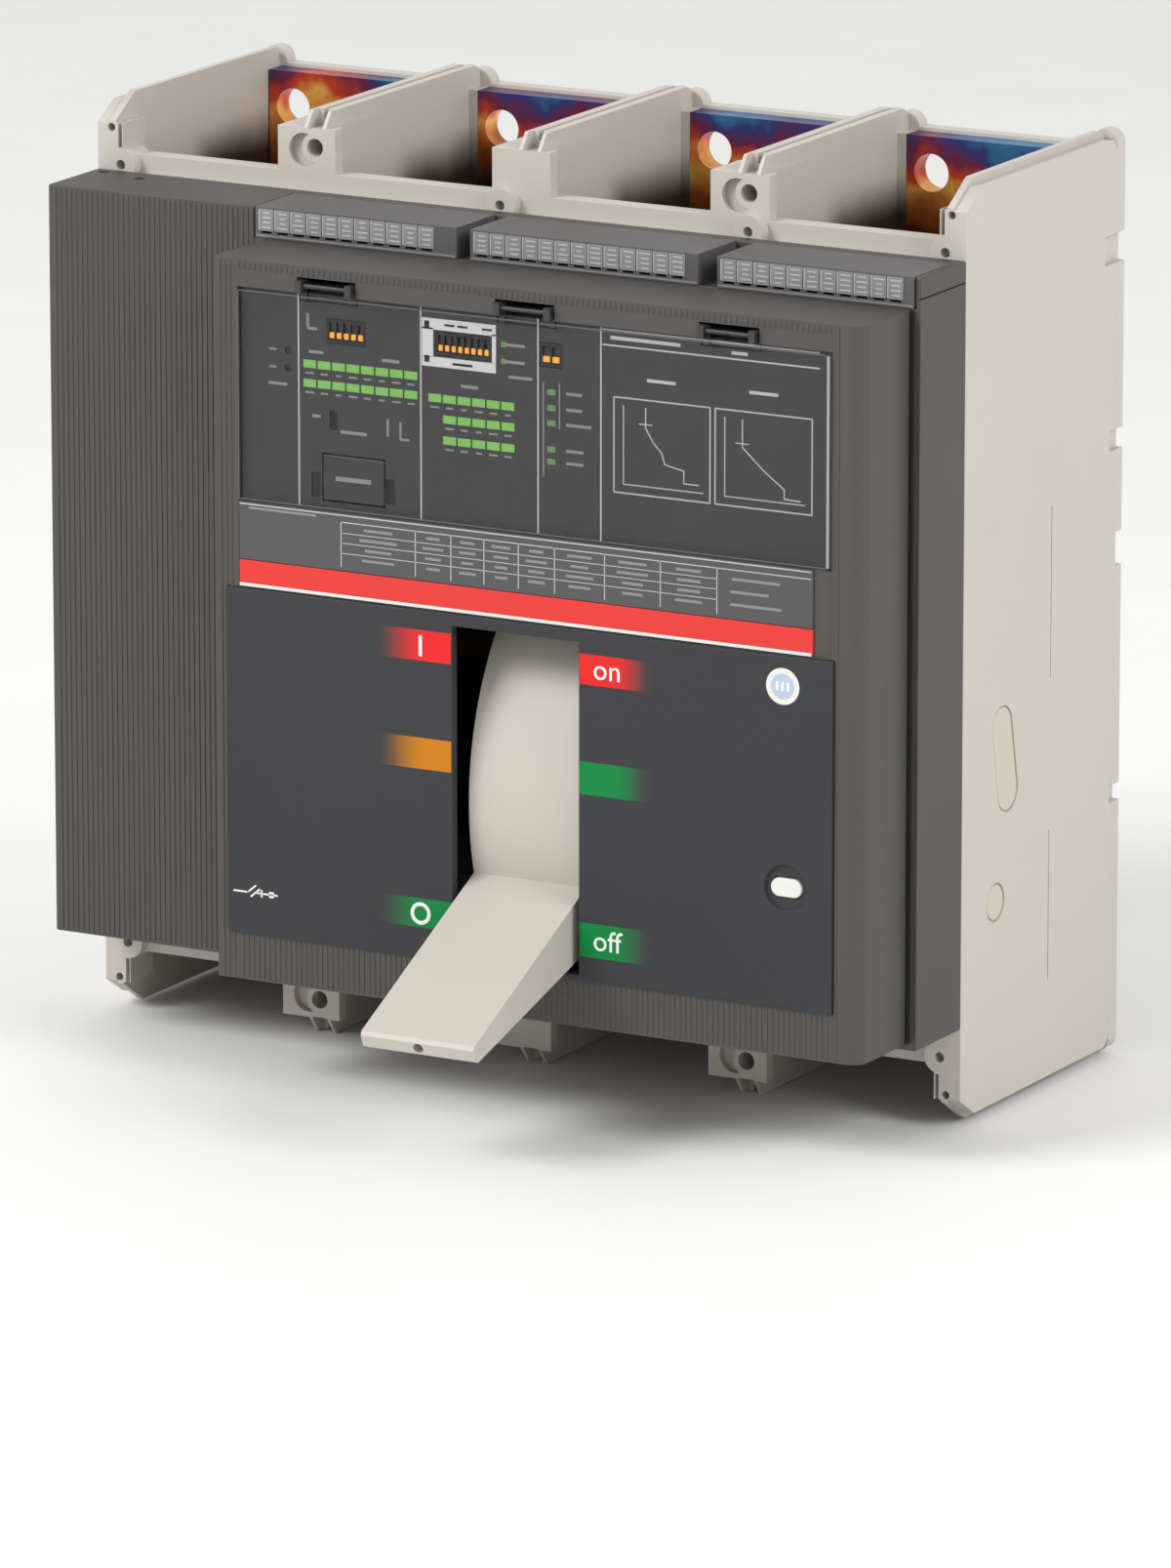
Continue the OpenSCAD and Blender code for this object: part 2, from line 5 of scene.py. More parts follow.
import bpy
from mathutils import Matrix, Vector


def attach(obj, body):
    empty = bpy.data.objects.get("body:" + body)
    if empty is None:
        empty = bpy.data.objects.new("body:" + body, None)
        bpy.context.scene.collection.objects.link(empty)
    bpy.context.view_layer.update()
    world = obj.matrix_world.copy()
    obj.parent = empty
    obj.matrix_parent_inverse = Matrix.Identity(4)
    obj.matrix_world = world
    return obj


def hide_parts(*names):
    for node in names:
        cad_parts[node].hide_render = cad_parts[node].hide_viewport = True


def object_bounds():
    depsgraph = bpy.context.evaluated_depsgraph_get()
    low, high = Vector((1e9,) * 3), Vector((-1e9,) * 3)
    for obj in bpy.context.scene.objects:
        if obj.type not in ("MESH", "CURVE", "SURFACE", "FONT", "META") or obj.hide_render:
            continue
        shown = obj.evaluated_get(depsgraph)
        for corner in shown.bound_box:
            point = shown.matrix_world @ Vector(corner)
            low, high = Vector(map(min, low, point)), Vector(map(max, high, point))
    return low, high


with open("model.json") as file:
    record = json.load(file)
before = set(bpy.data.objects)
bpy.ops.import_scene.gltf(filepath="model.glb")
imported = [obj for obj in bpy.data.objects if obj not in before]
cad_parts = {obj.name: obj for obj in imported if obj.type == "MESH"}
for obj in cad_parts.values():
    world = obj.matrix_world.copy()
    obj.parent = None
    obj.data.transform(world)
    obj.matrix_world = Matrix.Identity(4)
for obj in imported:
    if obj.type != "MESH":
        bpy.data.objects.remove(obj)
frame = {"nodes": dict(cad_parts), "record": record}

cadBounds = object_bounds()
mm = 0.001


def deselectAll():
    if bpy.context.mode != "OBJECT":
        bpy.ops.object.mode_set(mode="OBJECT")
    bpy.ops.object.select_all(action="DESELECT")


def makeActive(piece):
    deselectAll()
    piece.select_set(True)
    bpy.context.view_layer.objects.active = piece


def applyPlace(piece):
    makeActive(piece)
    bpy.ops.object.transform_apply(location=True, rotation=True, scale=True)


def addBox(name, low, high):
    # low and high corners in millimetres
    size = [(b - a) * mm for a, b in zip(low, high)]
    centre = [(a + b) * mm / 2 for a, b in zip(low, high)]
    deselectAll()
    bpy.ops.mesh.primitive_cube_add(size=1, location=centre, scale=size)
    piece = bpy.context.object
    piece.name = name
    applyPlace(piece)
    return piece


def addRod(name, radius, start, end, sides=32):
    # a cylinder from one point to another, in millimetres
    a, b = Vector(start) * mm, Vector(end) * mm
    turn = (b - a).to_track_quat("Z", "Y").to_euler()
    deselectAll()
    bpy.ops.mesh.primitive_cylinder_add(radius=radius * mm, depth=(b - a).length, vertices=sides,
                                        location=(a + b) / 2, rotation=turn)
    piece = bpy.context.object
    piece.name = name
    applyPlace(piece)
    return piece


def applyModifier(piece, kind, **settings):
    makeActive(piece)
    modifier = piece.modifiers.new(kind.title(), kind)
    for key, value in settings.items():
        setattr(modifier, key, value)
    bpy.ops.object.modifier_apply(modifier=modifier.name)
    return piece


def softenEdges(piece, width, segments=2, angle=35):
    return applyModifier(piece, "BEVEL", width=width * mm, segments=segments, limit_method="ANGLE",
                         angle_limit=math.radians(angle), harden_normals=False)


def cutAway(piece, cutter):
    applyModifier(piece, "BOOLEAN", object=cutter, operation="DIFFERENCE", solver="EXACT")
    bpy.data.objects.remove(cutter, do_unlink=True)
    return piece


def joinPieces(name, pieces):
    makeActive(pieces[0])
    for piece in pieces:
        piece.select_set(True)
    if len(pieces) > 1:
        bpy.ops.object.join()
    joined = bpy.context.object
    joined.name = name
    return joined


def copyNode(name, node, soft=0.5, segments=2, tidy=True):
    # a merged copy of a CAD node, with its edges softened
    source = frame["nodes"][node]
    piece = source.copy()
    piece.data = source.data.copy()
    piece.name = name
    piece.parent = None
    bpy.context.collection.objects.link(piece)
    makeActive(piece)
    bpy.ops.object.mode_set(mode="EDIT")
    bpy.ops.mesh.select_all(action="SELECT")
    bpy.ops.mesh.remove_doubles(threshold=0.00001)
    if tidy:
        bpy.ops.mesh.dissolve_limited(angle_limit=math.radians(1))
    bpy.ops.object.mode_set(mode="OBJECT")
    piece.data.materials.clear()
    if soft:
        softenEdges(piece, soft, segments)
    return piece


def smoothShade(piece, angle=40):
    makeActive(piece)
    bpy.ops.object.shade_smooth_by_angle(angle=math.radians(angle))
    applyModifier(piece, "WEIGHTED_NORMAL", keep_sharp=True, weight=100)


def finishPiece(piece, finish, body, nodes=(), angle=40):
    piece.data.materials.clear()
    piece.data.materials.append(finish)
    smoothShade(piece, angle)
    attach(piece, body)
    if nodes:
        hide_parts(*nodes)
    return piece


def copyAlong(name, piece, offsets):
    # copies of one modelled piece, moved by offsets in millimetres and joined
    pieces = []
    for offset in offsets:
        twin = piece.copy()
        twin.data = piece.data.copy()
        bpy.context.collection.objects.link(twin)
        twin.location = Vector(offset) * mm
        pieces.append(twin)
    bpy.data.objects.remove(piece, do_unlink=True)
    joined = joinPieces(name, pieces)
    applyPlace(joined)
    return joined


def printRect(x, z, width, height, face, thick=0.08):
    # a printed patch that stands a little proud of a front face
    return addBox("print", (x - width / 2, face - thick, z - height / 2), (x + width / 2, face, z + height / 2))


def printLine(start, end, width, face, thick=0.08):
    # a printed stroke between two points given as X and Z
    a, b = Vector((start[0], 0, start[1])), Vector((end[0], 0, end[1]))
    length = (b - a).length + width
    piece = addBox("print", (-length / 2, -thick, -width / 2), (length / 2, 0, width / 2))
    piece.rotation_euler[1] = -math.atan2(end[1] - start[1], end[0] - start[0])
    piece.location = ((start[0] + end[0]) / 2 * mm, face * mm, (start[1] + end[1]) / 2 * mm)
    applyPlace(piece)
    return piece


def printFrame(low, high, width, face):
    corners = [(low[0], low[1]), (high[0], low[1]), (high[0], high[1]), (low[0], high[1])]
    return [printLine(corners[i - 1], corners[i], width, face) for i in range(4)]


def printWord(word, x, z, height, face, thick=0.08):
    deselectAll()
    bpy.ops.object.text_add(location=(x * mm, (face - thick) * mm, z * mm), rotation=(math.pi / 2, 0, 0))
    piece = bpy.context.object
    piece.data.body = word
    piece.data.size = height * mm
    piece.data.align_x = "CENTER"
    piece.data.align_y = "CENTER"
    piece.data.extrude = thick * mm
    piece.data.resolution_u = 3
    makeActive(piece)
    bpy.ops.object.convert(target="MESH")
    applyPlace(bpy.context.object)
    return bpy.context.object


def printSheet(name, pieces, finish, body="case"):
    sheet = joinPieces(name, pieces)
    softenEdges(sheet, 0.02, 1)
    return finishPiece(sheet, finish, body)


class Wire:
    # one output socket, so that shader maths reads as an expression
    def __init__(self, socket):
        self.socket = socket

    def combine(self, operation, first, second):
        return makeNode(self.socket.id_data, "ShaderNodeMath", {"operation": operation}, {0: first, 1: second})

    def __add__(self, other):
        return self.combine("ADD", self, other)

    def __sub__(self, other):
        return self.combine("SUBTRACT", self, other)

    def __rsub__(self, other):
        return self.combine("SUBTRACT", other, self)

    def __mul__(self, other):
        return self.combine("MULTIPLY", self, other)

    def __lt__(self, other):
        return self.combine("LESS_THAN", self, other)

    __radd__ = __add__
    __rmul__ = __mul__


def makeNode(tree, kind, settings=None, sockets=None, output=0):
    node = tree.nodes.new(kind)
    for key, value in (settings or {}).items():
        if key == "stops":
            ramp = node.color_ramp.elements
            while len(ramp) < len(value):
                ramp.new(0.5)
            for element, (place, colour) in zip(ramp, value):
                element.position = place
                element.color = (*colour, 1)
        else:
            setattr(node, key, value)
    for key, value in (sockets or {}).items():
        if isinstance(value, Wire):
            tree.links.new(value.socket, node.inputs[key])
        else:
            node.inputs[key].default_value = value
    return Wire(node.outputs[output])


def linear(red, green, blue):
    # a screen colour from 0 to 255, as the renderer's linear light
    def channel(value):
        value /= 255
        return value / 12.92 if value <= 0.04045 else ((value + 0.055) / 1.055) ** 2.4
    return channel(red), channel(green), channel(blue)


def startFinish(name):
    finish = bpy.data.materials.new(name)
    finish.use_nodes = True
    tree = finish.node_tree
    shader = tree.nodes["Principled BSDF"]
    place = makeNode(tree, "ShaderNodeTexCoord", output=3)
    return finish, tree, shader, place


def noiseAt(tree, place, scale, detail=3.0, roughness=0.5):
    return makeNode(tree, "ShaderNodeTexNoise", None,
                    {"Vector": place, "Scale": scale, "Detail": detail, "Roughness": roughness})


def mixColours(tree, factor, first, second):
    return makeNode(tree, "ShaderNodeMix", {"data_type": "RGBA"}, {0: factor, 6: first, 7: second}, output=2)


shaderSockets = {"colour": "Base Color", "roughness": "Roughness", "metallic": "Metallic", "normal": "Normal",
                 "alpha": "Alpha", "specular": "Specular IOR Level"}


def setShader(tree, shader, **sockets):
    for key, value in sockets.items():
        socket = shader.inputs[shaderSockets[key]]
        if isinstance(value, Wire):
            tree.links.new(value.socket, socket)
        else:
            socket.default_value = value


def mouldedFinish(name, colour, patch, grainScale, bump, rough, spread=0.08, shine=0.5):
    # moulded plastic: a fine spark-eroded grain, slight colour drift and uneven sheen
    finish, tree, shader, place = startFinish(name)
    grain = noiseAt(tree, place, grainScale, 2.0)
    drift = noiseAt(tree, place, 14.0, 3.0)
    tint = mixColours(tree, drift, (*colour, 1), (*patch, 1))
    normal = makeNode(tree, "ShaderNodeBump", None, {"Strength": bump, "Distance": 0.0001, "Height": grain})
    sheen = rough + (drift - 0.5) * spread + (grain - 0.5) * spread
    setShader(tree, shader, colour=tint, roughness=sheen, normal=normal, specular=shine)
    return finish


def plainFinish(name, colour, rough):
    return mouldedFinish(name, colour, [c * 0.93 for c in colour], 2600, 0.1, rough, 0.05)


def splitPlace(tree, place):
    node = makeNode(tree, "ShaderNodeSeparateXYZ", None, {"Vector": place}).socket.node
    return [Wire(socket) for socket in node.outputs]


def absolute(wire):
    return wire.combine("ABSOLUTE", wire, 0)


def rampDown(tree, value, empty, full):
    # 0 beyond the first place, 1 beyond the second, with a soft step between
    return makeNode(tree, "ShaderNodeMapRange", {"interpolation_type": "SMOOTHSTEP"},
                    {"Value": value, "From Min": empty, "From Max": full, "To Min": 0.0, "To Max": 1.0})


# where painted shade darkens the terminal chambers, in metres from the frame's centre
chamberShade = {"darkTop": 0.121, "darkFull": 0.104, "frontEdge": 0.0605, "frontFull": 0.044, "rearEdge": -0.0055,
           "halfWidth": 0.1346, "cloud": 0.006}


def caseFinish(name, colour, patch, dark):
    # beige moulding with painted shade that deepens with depth inside the terminal chambers
    finish, tree, shader, place = startFinish(name)
    x, y, z = splitPlace(tree, place)
    grain = noiseAt(tree, place, 2200, 2.0)
    drift = noiseAt(tree, place, 14.0, 3.0)
    cloud = noiseAt(tree, place, 45.0, 2.0)
    c = chamberShade
    depth = rampDown(tree, absolute(z) + (cloud - 0.5) * c["cloud"], c["darkTop"], c["darkFull"])
    front = rampDown(tree, absolute(y), c["frontEdge"], c["frontFull"])
    # mask of the painted shade inside the terminal chambers
    inside = depth * front * (absolute(x) < c["halfWidth"]) * (y < c["rearEdge"])
    tint = mixColours(tree, drift, (*colour, 1), (*patch, 1))
    shade = mixColours(tree, drift, (*dark, 1), (*[c * 0.6 for c in dark], 1))
    both = mixColours(tree, inside, tint, shade)
    normal = makeNode(tree, "ShaderNodeBump", None, {"Strength": 0.25, "Distance": 0.0001, "Height": grain})
    setShader(tree, shader, colour=both, roughness=0.55 + (drift - 0.5) * 0.1, normal=normal)
    return finish


def metalFinish(name, colour, rough, scratch=900):
    finish, tree, shader, place = startFinish(name)
    stretch = makeNode(tree, "ShaderNodeMapping", None, {"Vector": place, "Scale": (1, 0.06, 0.06)})
    lines = noiseAt(tree, stretch, scratch, 4.0, 0.65)
    stain = noiseAt(tree, place, 30.0)
    tint = mixColours(tree, stain, (*colour, 1), (*[c * 0.8 for c in colour], 1))
    normal = makeNode(tree, "ShaderNodeBump", None, {"Strength": 0.12, "Distance": 0.00005, "Height": lines})
    setShader(tree, shader, colour=tint, roughness=rough + (lines - 0.5) * 0.2, metallic=1.0, normal=normal)
    return finish


# the ramp runs from painted shade at its start height, in metres above or below the centre, up through the
# colours of the heat tint
heatTintAndShade = {"start": 0.096, "rise": 24.0, "drift": 1.4, "cloudScale": 22.0}


def copperFinish(name):
    # copper: painted shade in dark brown low in the chambers, then heat tint drifting gold, red, violet and
    # blue near the top edge
    finish, tree, shader, place = startFinish(name)
    x, y, z = splitPlace(tree, place)
    h = heatTintAndShade
    cloud = noiseAt(tree, place, h["cloudScale"], 4.0, 0.6)
    lines = noiseAt(tree, place, 700.0, 3.0)
    level = (absolute(z) - h["start"]) * h["rise"] + (cloud - 0.5) * h["drift"]
    # the first dark brown stops are painted shade low in the chambers; the stops above them are heat tint
    ramp = makeNode(tree, "ShaderNodeValToRGB", {"stops": [
        (0.0, linear(58, 32, 24)), (0.16, linear(112, 56, 34)), (0.34, linear(206, 112, 48)),
        (0.48, linear(252, 186, 92)), (0.6, linear(214, 74, 40)), (0.72, linear(120, 44, 74)),
        (0.84, linear(54, 62, 128)), (1.0, linear(60, 134, 176))]}, {"Fac": level})
    normal = makeNode(tree, "ShaderNodeBump", None, {"Strength": 0.15, "Distance": 0.00005, "Height": lines})
    setShader(tree, shader, colour=ramp, roughness=0.34 + (cloud - 0.5) * 0.25, metallic=0.7, normal=normal)
    return finish


def fadeFinish(name, colour, ground, solid, faded):
    # printed colour that fades into the panel between two X positions in millimetres
    finish, tree, shader, place = startFinish(name)
    x, y, z = splitPlace(tree, place)
    grain = noiseAt(tree, place, 3000, 2.0)
    amount = (x - solid * mm) * (1 / ((faded - solid) * mm))
    soft = makeNode(tree, "ShaderNodeMapRange", {"interpolation_type": "SMOOTHSTEP"}, {"Value": amount})
    tint = mixColours(tree, soft, (*colour, 1), (*ground, 1))
    normal = makeNode(tree, "ShaderNodeBump", None, {"Strength": 0.08, "Distance": 0.0001, "Height": grain})
    setShader(tree, shader, colour=tint, roughness=0.45 + (grain - 0.5) * 0.08, normal=normal, specular=0.2)
    return finish


def clearFinish(name):
    # clear sheet with a faint smear in its sheen
    finish, tree, shader, place = startFinish(name)
    smear = noiseAt(tree, place, 40.0, 3.0)
    setShader(tree, shader, colour=(0.05, 0.05, 0.055, 1), roughness=0.12 + smear * 0.06,
              alpha=0.02 + smear * 0.03, specular=0.25)
    return finish


panelColour = linear(54, 55, 57)
inkColour = linear(176, 174, 176)
finishes = {
    # the last colour is the painted shade deep in the terminal chambers
    "beige": caseFinish("beige_moulding", linear(190, 184, 176), linear(184, 178, 169), linear(50, 36, 27)),
    "cover": mouldedFinish("dark_cover", linear(70, 66, 62), linear(66, 62, 59), 2400, 0.2, 0.5),
    "panel": mouldedFinish("panel", panelColour, linear(52, 53, 55), 3400, 0.04, 0.45, shine=0.2),
    "trip": mouldedFinish("trip_unit", linear(48, 46, 48), linear(45, 43, 45), 3400, 0.02, 0.5),
    "label": plainFinish("label", linear(72, 70, 72), 0.45),
    "red": plainFinish("red_label", linear(212, 38, 30), 0.45),
    "connector": plainFinish("connector", linear(84, 82, 82), 0.5),
    "lever": mouldedFinish("lever_moulding", linear(188, 182, 173), linear(182, 176, 166), 2200, 0.2, 0.5),
    "black": plainFinish("black_plastic", linear(20, 19, 20), 0.5),
    "shaft": plainFinish("shaft_moulding", linear(120, 74, 48), 0.55),
    "resin": plainFinish("sensor_resin", linear(52, 58, 62), 0.45),
    "orange": plainFinish("orange_slider", linear(243, 165, 60), 0.35),
    "button": plainFinish("pale_button", linear(216, 216, 212), 0.35),
    "copper": copperFinish("copper"),
    "silver": metalFinish("silver_contact", linear(220, 220, 215), 0.25),
    "steel": metalFinish("steel", linear(190, 192, 196), 0.35),
    "chute": metalFinish("chute_plates", linear(130, 132, 135), 0.45),
    "clear": clearFinish("clear"),
    "ink": plainFinish("white_ink", inkColour, 0.5),
    "greyInk": plainFinish("grey_ink", linear(128, 126, 128), 0.5),
    "brightInk": plainFinish("bright_ink", linear(222, 222, 220), 0.5),
    "green": plainFinish("green_ink", linear(112, 172, 82), 0.5),
    "shade_and_ink_black": plainFinish("shade_and_ink_black", linear(14, 13, 13), 0.6),
    # near black, used as painted shade in gaps, grooves, holes and slots, and as dark print on the switch
    # surround
    "darkSteel": metalFinish("dark_steel", linear(78, 76, 76), 0.5),
    "surround": plainFinish("switch_surround", linear(192, 190, 190), 0.5),
    "yellowed": plainFinish("yellowed_moulding", linear(190, 186, 168), 0.5),
}
print("finishes made")

slotFinish = {
    "beige_moulding": "beige", "copper": "copper", "silver_contact": "silver", "steel": "steel",
    "chute_plates": "chute", "dark_cover": "cover", "panel": "panel", "trip_unit": "trip", "label": "label",
    "red_label": "red", "connector": "connector", "lever_moulding": "lever", "black_plastic": "black",
    "shaft_moulding": "shaft", "sensor_resin": "resin", "orange_slider": "orange", "pale_button": "button",
    "clear": "clear",
}
ownFinish = {"window_hinge_pins": "darkSteel"}
nodeFinish = {}
for part in frame["record"]["subparts"]:
    nodeFinish[part["node"]] = finishes[ownFinish.get(part["node"]) or slotFinish[part["material_slot"]]]
    for slot in frame["nodes"][part["node"]].material_slots:
        slot.material = nodeFinish[part["node"]]
print("CAD nodes finished")


def softCopy(node, name, body="case", soft=0.5, segments=2, tidy=True):
    piece = copyNode(name, node, soft, segments, tidy)
    return finishPiece(piece, nodeFinish[node], body, nodes=[node])


# Case: softened moulding, with two knock-outs and upright seams on the right side
caseSide = {
    "face": 140, "past": 141, "cutDepth": 0.7, "plateBack": 138.5, "plateFace": 139.9, "gap": 0.5,
    "oval": {"y": -71.8, "z": -33.5, "radius": 6.3, "half": 9.6, "tilt": 11},
    "round": {"y": -77.1, "z": -74.0, "radius": 5.6, "half": 0, "tilt": 0},
    "seamY": -44, "seamHalf": 0.25, "seamDepth": 0.4, "seams": ((-16, 34), (-104, -60)),
    "soft": 0.45, "plateSoft": 0.4,
}


def sideDisc(name, disc, radius, x0, x1):
    # a disc, or a long oval tilted about X, lying in the right side wall
    piece = addRod(name, radius, (x0, 0, 0), (x1, 0, 0), 40)
    if disc["half"]:
        makeActive(piece)
        bpy.ops.object.mode_set(mode="EDIT")
        bpy.ops.mesh.select_all(action="DESELECT")
        bpy.ops.object.mode_set(mode="OBJECT")
        for vertex in piece.data.vertices:
            vertex.select = vertex.co.z > 0.00001
        bpy.ops.object.mode_set(mode="EDIT")
        bpy.ops.transform.translate(value=(0, 0, disc["half"] * mm))
        bpy.ops.mesh.select_all(action="INVERT")
        bpy.ops.transform.translate(value=(0, 0, -disc["half"] * mm))
        bpy.ops.object.mode_set(mode="OBJECT")
    piece.rotation_euler[0] = math.radians(disc["tilt"])
    piece.location = (0, disc["y"] * mm, disc["z"] * mm)
    applyPlace(piece)
    return piece


def makeCase():
    s = caseSide
    case = copyNode("caseBody", "case_base", 0)
    plates = []
    for disc in (s["oval"], s["round"]):
        cutAway(case, sideDisc("cutter", disc, disc["radius"], s["face"] - s["cutDepth"], s["past"]))
        plates.append(sideDisc("plate", disc, disc["radius"] - s["gap"], s["plateBack"], s["plateFace"]))
    for low, high in s["seams"]:
        cutAway(case, addBox("cutter", (s["face"] - s["seamDepth"], s["seamY"] - s["seamHalf"], low),
                             (s["past"], s["seamY"] + s["seamHalf"], high)))
    softenEdges(case, s["soft"], 2)
    finishPiece(case, finishes["beige"], "case", nodes=["case_base"])
    knockOuts = joinPieces("knockOuts", plates)
    softenEdges(knockOuts, s["plateSoft"], 3)
    finishPiece(knockOuts, finishes["yellowed"], "case")
    softCopy("rear_frame", "rearFrame", soft=0.5)


makeCase()
print("case made")

# Cover and mask: softened mouldings with fine upright ribs, each field as x0, x1, z0, z1
ribs = {"pitch": 1.72, "width": 0.85, "high": 0.22, "rooted": 0.2, "soft": 0.16}
cover = {
    "ribFace": -125.2, "ribFields": ((-138.8, -70.2, -105.3, 112.6),),
    "seamLow": (139.5, -126, 107.1), "seamHigh": (141, -98.4, 107.6),
    "seamShadeFill": ((139.2, -124.9, 107.1), (139.6, -98.4, 107.6)),
    "maskGapShade": ((137.02, -126.1, -104), (138.1, -125.22, 104.2)),
    "spots": ((-135.4, -102.2), (-121.3, -106.1)), "spotR": 1.7, "spotBase": 113.1, "spotPast": 114,
    "spotShadeR": 1.65, "spotShadeFill": (112.9, 113.25),
}
mask = {
    "ribFace": -153,
    "ribFields": ((-68, -62.4, -103.6, 103.6), (-61.8, 128.6, -103.6, -91.2), (-61.8, 128.6, 101.4, 103.6),
                  (128.4, 131.6, -103.6, 103.6)),
}


def ribField(x0, x1, z0, z1, face):
    half = ribs["width"] / 2
    rib = addBox("rib", (-half, face - ribs["high"], z0), (half, face + ribs["rooted"], z1))
    softenEdges(rib, ribs["soft"], 2)
    count = int((x1 - x0) / ribs["pitch"])
    return copyAlong("field", rib, [(x0 + ribs["pitch"] * (i + 0.5), 0, 0) for i in range(count)])


def ribbed(name, body, size):
    return joinPieces(name, [body] + [ribField(*field, size["ribFace"]) for field in size["ribFields"]])


def makeCover():
    c = cover
    coverBody = copyNode("coverBody", "front_cover", 0.5, 2, tidy=False)
    cutAway(coverBody, addBox("cutter", c["seamLow"], c["seamHigh"]))
    for x, y in c["spots"]:
        cutAway(coverBody, addRod("cutter", c["spotR"], (x, y, c["spotBase"]), (x, y, c["spotPast"]), 24))
    finishPiece(ribbed("coverBody", coverBody, cover), finishes["cover"], "case", nodes=["front_cover"])
    maskBody = copyNode("maskBody", "front_mask", 0.4, 2, tidy=False)
    finishPiece(ribbed("maskBody", maskBody, mask), finishes["cover"], "case", nodes=["front_mask"])
    # near-black pieces in the gap beside the mask, at the bottom of the upper seam and at the bottoms of the
    # two shallow holes: painted shade
    seams = [addBox("shade_and_ink_black", *c["maskGapShade"]), addBox("shade_and_ink_black", *c["seamShadeFill"])]
    low, high = c["spotShadeFill"]
    spots = [addRod("spot", c["spotShadeR"], (x, y, low), (x, y, high), 24) for x, y in c["spots"]]
    seams = softenEdges(joinPieces("coverGapShade", seams + spots), 0.05, 2)
    finishPiece(seams, finishes["shade_and_ink_black"], "case")


makeCover()
print("cover and mask made")

# Panel: bevelled plate, colour patches beside the lever with their top and bottom, and printed marks
panel = {"face": -154, "patchThick": 0.06, "left": (-16.6, 7.9), "right": (49, 72.5), "solidLeft": 8,
         "solidRight": 10, "fadeEnd": 1}
patches = (
    ("on_patch_left", "red", "left", 4.3, -4.5), ("trip_patch_left", "amber", "left", -26.7, -35.7),
    ("off_patch_left", "green", "left", -73.2, -81.6), ("on_patch_right", "red", "right", 3.4, -5.3),
    ("trip_patch_right", "green", "right", -27.4, -36.8), ("off_patch_right", "green", "right", -73.7, -83.5),
)
patchColours = {"red": linear(212, 34, 34), "amber": linear(186, 116, 8), "green": linear(0, 122, 58)}
panelWords = {"bar": (-1.9, -0.2, 1.0, 6.0), "on": (57.8, -0.8), "off": (57.8, -78.6), "height": 8.6,
              "ring": (-2.1, -77.6), "ringR": 2.7, "ringStroke": 0.55, "ringFlat": 0.2}
# the small switch symbol: strokes between two points, and two filled boxes as x, z, width, height
switchSymbol = {
    "strokes": (((-63, -78.3), (-58.5, -78.3)), ((-58.5, -78.3), (-56, -76.2)),
                ((-57.4, -79.4), (-54.8, -77.2)), ((-55.2, -78.3), (-49, -78.3))),
    "width": 0.5, "boxes": ((-54, -78.3, 0.5, 2.2), (-50.8, -78.3, 1.6, 1.7)),
}
badge = {"x": 113, "z": 1.3, "radius": 5.2, "innerR": 3.6, "high": 0.1, "innerHigh": 0.16, "barPitch": 1.7,
         "bar": (0.9, 2.6), "barThick": 0.05}


def makePatches():
    p = panel
    for name, colour, side, z1, z0 in patches:
        x0, x1 = p[side]
        patch = softenEdges(addBox(name, (x0, p["face"] - p["patchThick"], z0), (x1, p["face"], z1)), 0.03, 1)
        solid, faded = x1 - p["solidLeft"], x0 + p["fadeEnd"]
        if side == "right":
            solid, faded = x0 + p["solidRight"], x1 - p["fadeEnd"]
        finishPiece(patch, fadeFinish(name, patchColours[colour], panelColour, solid, faded), "case")


def makeRing(face):
    w = panelWords
    x, z = w["ring"]
    deselectAll()
    bpy.ops.mesh.primitive_torus_add(major_radius=w["ringR"] * mm, minor_radius=w["ringStroke"] * mm,
                                     major_segments=40, minor_segments=8,
                                     location=(x * mm, face * mm, z * mm), rotation=(math.pi / 2, 0, 0))
    ring = bpy.context.object
    ring.scale[2] = w["ringFlat"]
    applyPlace(ring)
    return ring


def makeBadge(face):
    b = badge
    x, z = b["x"], b["z"]
    disc = addRod("badge", b["radius"], (x, face, z), (x, face - b["high"], z), 48)
    finishPiece(softenEdges(disc, 0.04, 1), finishes["button"], "case")
    inner = addRod("badgeInner", b["innerR"], (x, face - b["high"], z), (x, face - b["innerHigh"], z), 40)
    finishPiece(softenEdges(inner, 0.02, 1), plainFinish("badge_blue", linear(170, 186, 204), 0.4), "case")
    bars = [printRect(x + i * b["barPitch"], z, *b["bar"], face - b["innerHigh"], b["barThick"])
            for i in (-1, 0, 1)]
    printSheet("badgeBars", bars, finishes["brightInk"])


def makePanel():
    face = panel["face"]
    softCopy("toggle_panel", "panelPlate", soft=0.7, segments=3)
    makePatches()
    top = face - panel["patchThick"]
    w = panelWords
    words = [printRect(*w["bar"], top), printWord("on", *w["on"], w["height"], top),
             printWord("off", *w["off"], w["height"], top), makeRing(top)]
    strokes = [printLine(start, end, switchSymbol["width"], face) for start, end in switchSymbol["strokes"]]
    boxes = [printRect(*box, face) for box in switchSymbol["boxes"]]
    printSheet("panelPrint", words + strokes + boxes, finishes["brightInk"])
    makeBadge(face)
    softCopy("trip_button", "buttonCap", body="trip_button", soft=0.5, segments=3)


makePanel()
print("panel made")

# Lever: softened arm and drum
softCopy("lever", "leverArm", body="lever", soft=0.6, segments=3, tidy=False)
softCopy("slot_shutter", "shutterStrip", body="slot_shutter", soft=0.3)
print("lever made")

